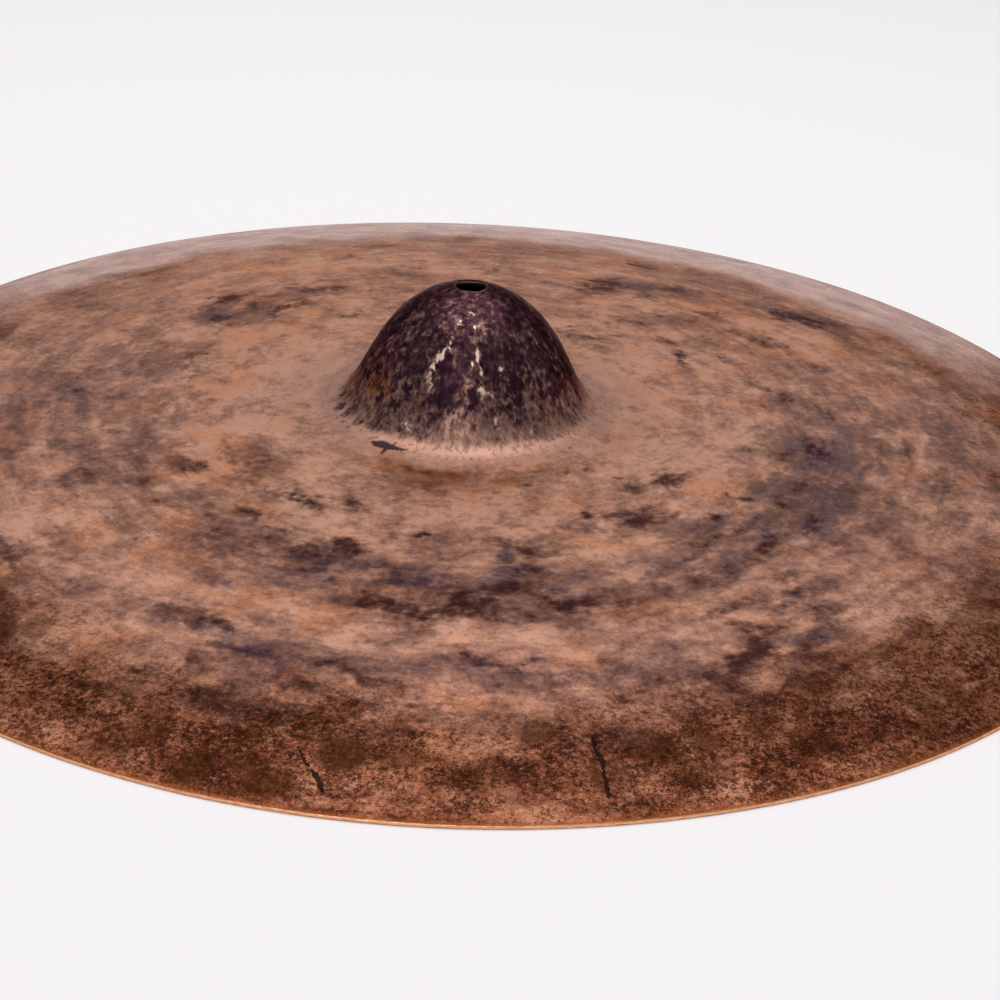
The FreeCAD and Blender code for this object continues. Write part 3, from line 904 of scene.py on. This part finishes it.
# --- a fine tangential crack in the rim, and a ragged one that runs inward
jag = g.noise(plane, 2.0, 4, .75, 700.0) - 0.5
jag2 = g.noise(plane, 2.0, 4, .75, 733.0) - 0.5
kx, ky = px + jag * 3.0, py + jag2 * 3.0


def seam(ax, ay, bx, by, wa, wm, wb, blur=0.26):
    """1 inside a line from a to b, whose half width goes from wa through wm to wb."""
    dx, dy = bx - ax, by - ay
    n2 = dx * dx + dy * dy
    t = ((kx - ax) * (dx / n2) + (ky - ay) * (dy / n2)).clamp()
    ex = kx - ax - t * dx
    ey = ky - ay - t * dy
    dist = g.math("SQRT", ex * ex + ey * ey)
    w = wa + t * (wb - wa) + t * (1.0 - t) * (4.0 * (wm - 0.5 * (wa + wb)))
    return g.step(dist - w, blur, -blur)


cracks = None
for spec in (
    (-49.5, -246.3, -45.2, -255.5, .06, .34, .16), (-43.8, -257.0, -41.5, -261.9, .15, .75, .65),
    (-41.5, -261.9, -39.4, -267.2, .65, .70, .08),
    (45.8, -235.4, 46.3, -241.9, .28, .55, .35), (46.3, -241.9, 48.7, -247.1, .40, .75, 1.05),
    (48.7, -247.1, 48.9, -252.5, .95, .40, .20), (48.9, -252.5, 49.8, -257.6, .25, .55, .35),
    (49.8, -257.6, 50.2, -263.4, .40, .60, .25), (45.2, -246.0, 48.7, -247.1, .10, .30, .50),
):
    one = seam(*spec)
    cracks = one if cracks is None else cracks.max(one)
body = g.mix(cracks * 0.93, body, (22, 13, 12))

# --- warm brown ring just inside the edge, and a darker ring of painted shade in the shallow hollow round the bell's foot
line_n = radius + (g.noise(plane, 9, 3, .6, 400.0) - 0.5) * 3.0
line_r = g.step(line_n, 277.0, 279.0) * 0.62 + g.step(line_n, 272.0, 277.0) * 0.12
body = g.mix(line_r, body, g.mix(grain + 0.5, (84, 38, 14), (146, 82, 40)))
hollow_shade = g.step(radius, 63.0, 70.0) * g.step(radius, 84.0, 72.0)
body = g.mix(hollow_shade * 0.22, body, (112, 74, 54))
stain = g.step(a_rust + fine * 0.35 + mottle * 0.3, .30, .95) * g.step(radius, 96.0, 86.0)
body = g.mix(stain * 0.75, body, g.mix(g.step(a_rust, .55, .95), (124, 78, 42), (58, 34, 20)))

# --- pale band in the fillet at the foot of the bell: a painted highlight, strongest at the front
foot_n = (g.noise(bellv, 9, 4, .6, 420.0) - 0.5)
foot = g.step(radius + foot_n * 9.0, 68.5, 59.0)
down = g.vec(radius * 0.86, px * inv * 50.0, py * inv * 50.0)
# painted highlight: the band is paler towards the front
front = g.step(py * inv, -0.55, -0.95)
foot_highlight_col = g.ramp(0.46 + g.line(g.noise(down, 3.6, 5, .66, 440.0), .25, .75) * 0.42 - 0.21 + front * 0.17
                  + fine * 0.22 + grain * 0.2, [
    (0.0, (122, 90, 79)), (0.3, (146, 109, 95)), (0.6, (166, 127, 110)), (0.8, (176, 138, 120)),
    (1.0, (186, 149, 131))])
body = g.mix(foot * 0.86, body, foot_highlight_col)
dots = g.step(g.noise(down, 2.0, 3, .60, 455.0) + g.step(radius, 61.0, 48.0) * 0.11, .560, .700)
body = g.mix(dots * foot * 0.50, body, (72, 49, 48))
# a dark mark shaped like an arrowhead, left of the middle, and two streaks
arrow = None
for spec in ((-36.6, -45.4, -31.2, -48.6, .9, 2.2, 2.1, .7), (-31.2, -48.6, -26.3, -51.2, 2.1, 1.8, 1.2, .7),
             (-26.3, -51.2, -22.6, -52.3, 1.0, .8, .2, .6), (-32.9, -54.4, -31.0, -49.6, .3, .9, 1.3, .6),
             (-27.2, -47.0, -29.2, -49.4, .2, .6, 1.0, .6)):
    one = seam(*spec)
    arrow = one if arrow is None else arrow.max(one)
body = g.mix(arrow * 0.92, body, (30, 19, 32))
# flakes of the dark skin beyond its edge
flake = g.step(a_spill * 0.8 + (g.noise(down, 3.2, 3, .58, 870.0) - 0.5) * 2.2 + fine * 0.2, .42, .84)
body = g.mix(flake * 0.86, body, (34, 20, 30))

# --- bell: purple-black patina with fine flecks of bronze
edge_n = (g.noise(bellv, 3.0, 3, .58, 480.0) - 0.5) * 11.0 + (g.noise(bellv, 9, 3, .5, 490.0) - 0.5) * 6.0
on_b = g.step(radius + edge_n - a_spill * 4.5, 53.8, 44.6)
fl_big = g.noise(bellv, 7.5, 4, .60, 510.0, .2) - 0.5
fl_mid = g.noise(bellv, 2.7, 3, .56, 522.0) - 0.5
fl_fine = g.noise(bellv, 1.35, 2, .55, 530.0) - 0.5
expose = g.step(fl_big * 0.90 + fl_mid * 1.25 + fl_fine * 0.64 + a_bare_glint * 0.42 - a_solid * 0.38 - g.step(radius, 24.0, 12.0) * 0.05
                + g.step(radius, 40.0, 16.0) * 0.02 + g.step(radius, 36.0, 47.0) * 0.22, -.02, .42)
# the barest flecks are painted near-white: partly the bare bronze's colour, partly a painted highlight
fleck_glint = g.step(a_bare_glint + fl_mid * 1.6 + fl_fine * 1.1, .42, .84)
skin = g.ramp(0.53 + fl_mid * 1.6 + fl_fine * 0.7 + a_solid * -0.25, [
    (0.0, (26, 13, 23)), (0.33, (45, 26, 35)), (0.66, (72, 48, 51)), (1.0, (110, 79, 74))])
metal = g.ramp(0.43 + fl_fine * 1.0 + fl_mid * 1.0, [
    (0.0, (80, 53, 50)), (0.35, (108, 78, 72)), (0.65, (136, 103, 92)), (1.0, (166, 131, 115))])
metal = g.mix(g.step(radius, 33.0, 15.0) * 0.42, metal, (78, 52, 54))
metal = g.mix(fleck_glint, metal, (240, 208, 186))
metal = g.mix(a_brown * 0.75, metal, (134, 78, 38))
skin = g.mix(g.step(a_brown + fl_mid * 0.8, .30, .95) * 0.55, skin, (84, 46, 24))
bell = g.mix(expose.max(fleck_glint) * 0.78 + fleck_glint * 0.12, skin, metal)
body = g.mix(on_b, body, bell)

# --- worn ring at the mouth of the hole
mouth = g.step(radius + fine * 0.5, 7.3, 6.75)
body = g.mix(mouth * 0.60, body, (118, 90, 80))

# --- underside: forged scale, darker and duller, with rubbed high spots
un_t = 0.48 + (g.line(g.noise(plane, 26, 6, .66, 600.0, .7), .28, .72) - 0.5) * 0.60 \
    + (g.line(g.noise(plane, 5, 5, .7, 620.0), .28, .72) - 0.5) * 0.40 + grain * 0.25
un = g.ramp(un_t, [
    (0.0, (34, 22, 26)), (0.25, (58, 38, 38)), (0.5, (92, 60, 50)), (0.75, (128, 86, 68)),
    (1.0, (162, 116, 92))])
un = g.mix(vio * 0.4, un, (66, 50, 64))
un = g.mix(g.step(radius, 52.0, 44.0) * 0.75, un, skin)
body = g.mix(a_under, body, un)

# --- raw cut edge
cut_col = g.ramp(g.line(g.noise(g.vec(px, py, pz * 6.0), 2.6, 3, .6, 650.0), .3, .7), [
    (0.0, (196, 136, 96)), (0.5, (226, 168, 128)), (1.0, (244, 198, 158))])
body = g.mix(a_cut, body, cut_col)

# --- gloss: bare metal is brighter and smoother than the oxide
bare = (expose * on_b).max(foot * 0.5)
dull = spot.max(vio * 0.5)
rough = 0.36 + mottle * 0.10 + fine * 0.10 + dull * 0.05 - bare * 0.04 + grain * 0.06 + speck * 0.05
rough = rough - g.step(radius, 206.0, 246.0) * 0.12 - a_far_sheen * 0.06 + foot * (1.0 - on_b) * 0.10
rough = rough + on_b * (expose * -0.05 + 0.04)
rough = g.fmix(a_cut, rough, 0.30 + fine * 0.1)
metallic = (0.78 + bare * 0.15 - dull * 0.06 + on_b * (1.0 - expose) * 0.08 + in_rim * 0.04).clamp()
metallic = g.fmix(a_cut, metallic, 0.95)

# --- small relief: pitted, hammered scale, with scratches and cracks
relief = mottle * 0.09 + fine * 0.055 + grain * 0.022 - spot * 0.02 - speck * 0.012
relief = relief + (fl_mid * 0.14 + fl_fine * 0.04) * on_b - expose * on_b * 0.03 - cracks * 0.35
bump = g.node("ShaderNodeBump")
bump.inputs["Strength"].default_value = 0.85
bump.inputs["Distance"].default_value = 0.001
g.put(bump.inputs["Height"], relief)

bsdf = g.node("ShaderNodeBsdfPrincipled")
g.put(bsdf.inputs["Base Color"], body)
g.put(bsdf.inputs["Roughness"], rough)
g.put(bsdf.inputs["Metallic"], metallic)
bsdf.inputs["Specular IOR Level"].default_value = 0.2
# tarnish keeps the glancing reflection from turning fully white
tint = g.mix(g.step(py, 0.0, 120.0) * (1.0 - a_far_sheen), (240, 224, 220), (239, 210, 195))
tint = g.mix(core * 0.85, tint, (150, 120, 132))
tint = g.mix(in_rim * (1.0 - a_far_sheen), tint, (196, 140, 118))
tint = g.mix(on_b * (1.0 - a_under), tint, (165, 145, 145))
tint = g.mix(cracks.clamp() * 0.8, tint, (112, 82, 70))
g.put(bsdf.inputs["Specular Tint"], tint)
nt.links.new(bump.outputs[0], bsdf.inputs["Normal"])
out = g.node("ShaderNodeOutputMaterial")
nt.links.new(bsdf.outputs[0], out.inputs["Surface"])
mesh.materials.append(mat)

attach(cymbal, "root")
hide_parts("cymbal")

# ------------------------------------------------------------------ floor, light and camera
fm = bpy.data.materials.new("pale_floor")
fm.use_nodes = True
fb = fm.node_tree.nodes["Principled BSDF"]
fb.inputs["Base Color"].default_value = (0.797, 0.783, 0.792, 1.0)
fb.inputs["Roughness"].default_value = 0.85
fb.inputs["Specular IOR Level"].default_value = 0.2
bpy.ops.mesh.primitive_plane_add(size=14.0, location=(0, 0, 0))
floor = bpy.context.active_object
floor.name = "floor"
floor.data.materials.append(fm)

world = bpy.data.worlds.new("studio")
bpy.context.scene.world = world
world.use_nodes = True
wt = world.node_tree
bg = wt.nodes["Background"]
bg.inputs["Strength"].default_value = 1.0
wc = wt.nodes.new("ShaderNodeTexCoord")
ws = wt.nodes.new("ShaderNodeSeparateXYZ")
wr = wt.nodes.new("ShaderNodeValToRGB")
wt.links.new(wc.outputs["Generated"], ws.inputs[0])
wt.links.new(ws.outputs["Z"], wr.inputs[0])
wt.links.new(wr.outputs["Color"], bg.inputs["Color"])
while len(wr.color_ramp.elements) < 4:
    wr.color_ramp.elements.new(0.5)
# a white sweep low down, and a dim studio above it
for e, (at, k) in zip(wr.color_ramp.elements, ((0.0, 0.97), (0.08, 0.96), (0.19, 0.62), (1.0, 0.50))):
    e.position = at
    e.color = (k * 0.985, k * 0.975, k, 1.0)


def softbox(name, loc, target, sx, sy, power, colour):
    d = bpy.data.lights.new(name, "AREA")
    d.shape = "RECTANGLE"
    d.size, d.size_y = sx, sy
    d.energy = power
    d.color = colour
    o = bpy.data.objects.new(name, d)
    bpy.context.scene.collection.objects.link(o)
    o.location = loc
    back = (Matrix.Translation(loc).to_translation() - Matrix.Translation(target).to_translation()).normalized()
    o.rotation_euler = back.to_track_quat("Z", "Y").to_euler()
    return o


softbox("overhead", (0.0, 0.35, 1.9), (0.0, 0.05, 0.0), 2.3, 1.8, 28.0, (1.0, 0.985, 0.97))
softbox("front", (-0.35, -1.7, 1.35), (0.0, 0.0, 0.05), 0.9, 0.7, 7.5, (1.0, 0.98, 0.96))

cam_data = bpy.data.cameras.new("camera")
cam_data.sensor_width = 36.0
cam_data.lens = 79.2
cam_data.clip_end = 50.0
cam = bpy.data.objects.new("camera", cam_data)
bpy.context.scene.collection.objects.link(cam)
right = (0.998989, 0.003106, 0.044840)
up = (-0.041537, 0.444969, 0.894582)
fwd = (0.017174, 0.895541, -0.444648)
cam.matrix_world = Matrix((
    (right[0], up[0], -fwd[0], 0.0),
    (right[1], up[1], -fwd[1], -0.843074),
    (right[2], up[2], -fwd[2], 0.394057),
    (0, 0, 0, 1)))
bpy.context.scene.camera = cam
bpy.context.scene.view_settings.view_transform = "Standard"
bpy.context.scene.view_settings.look = "None"

print("faces", len(mesh.polygons), "triangles", int((totals - 2).sum()))
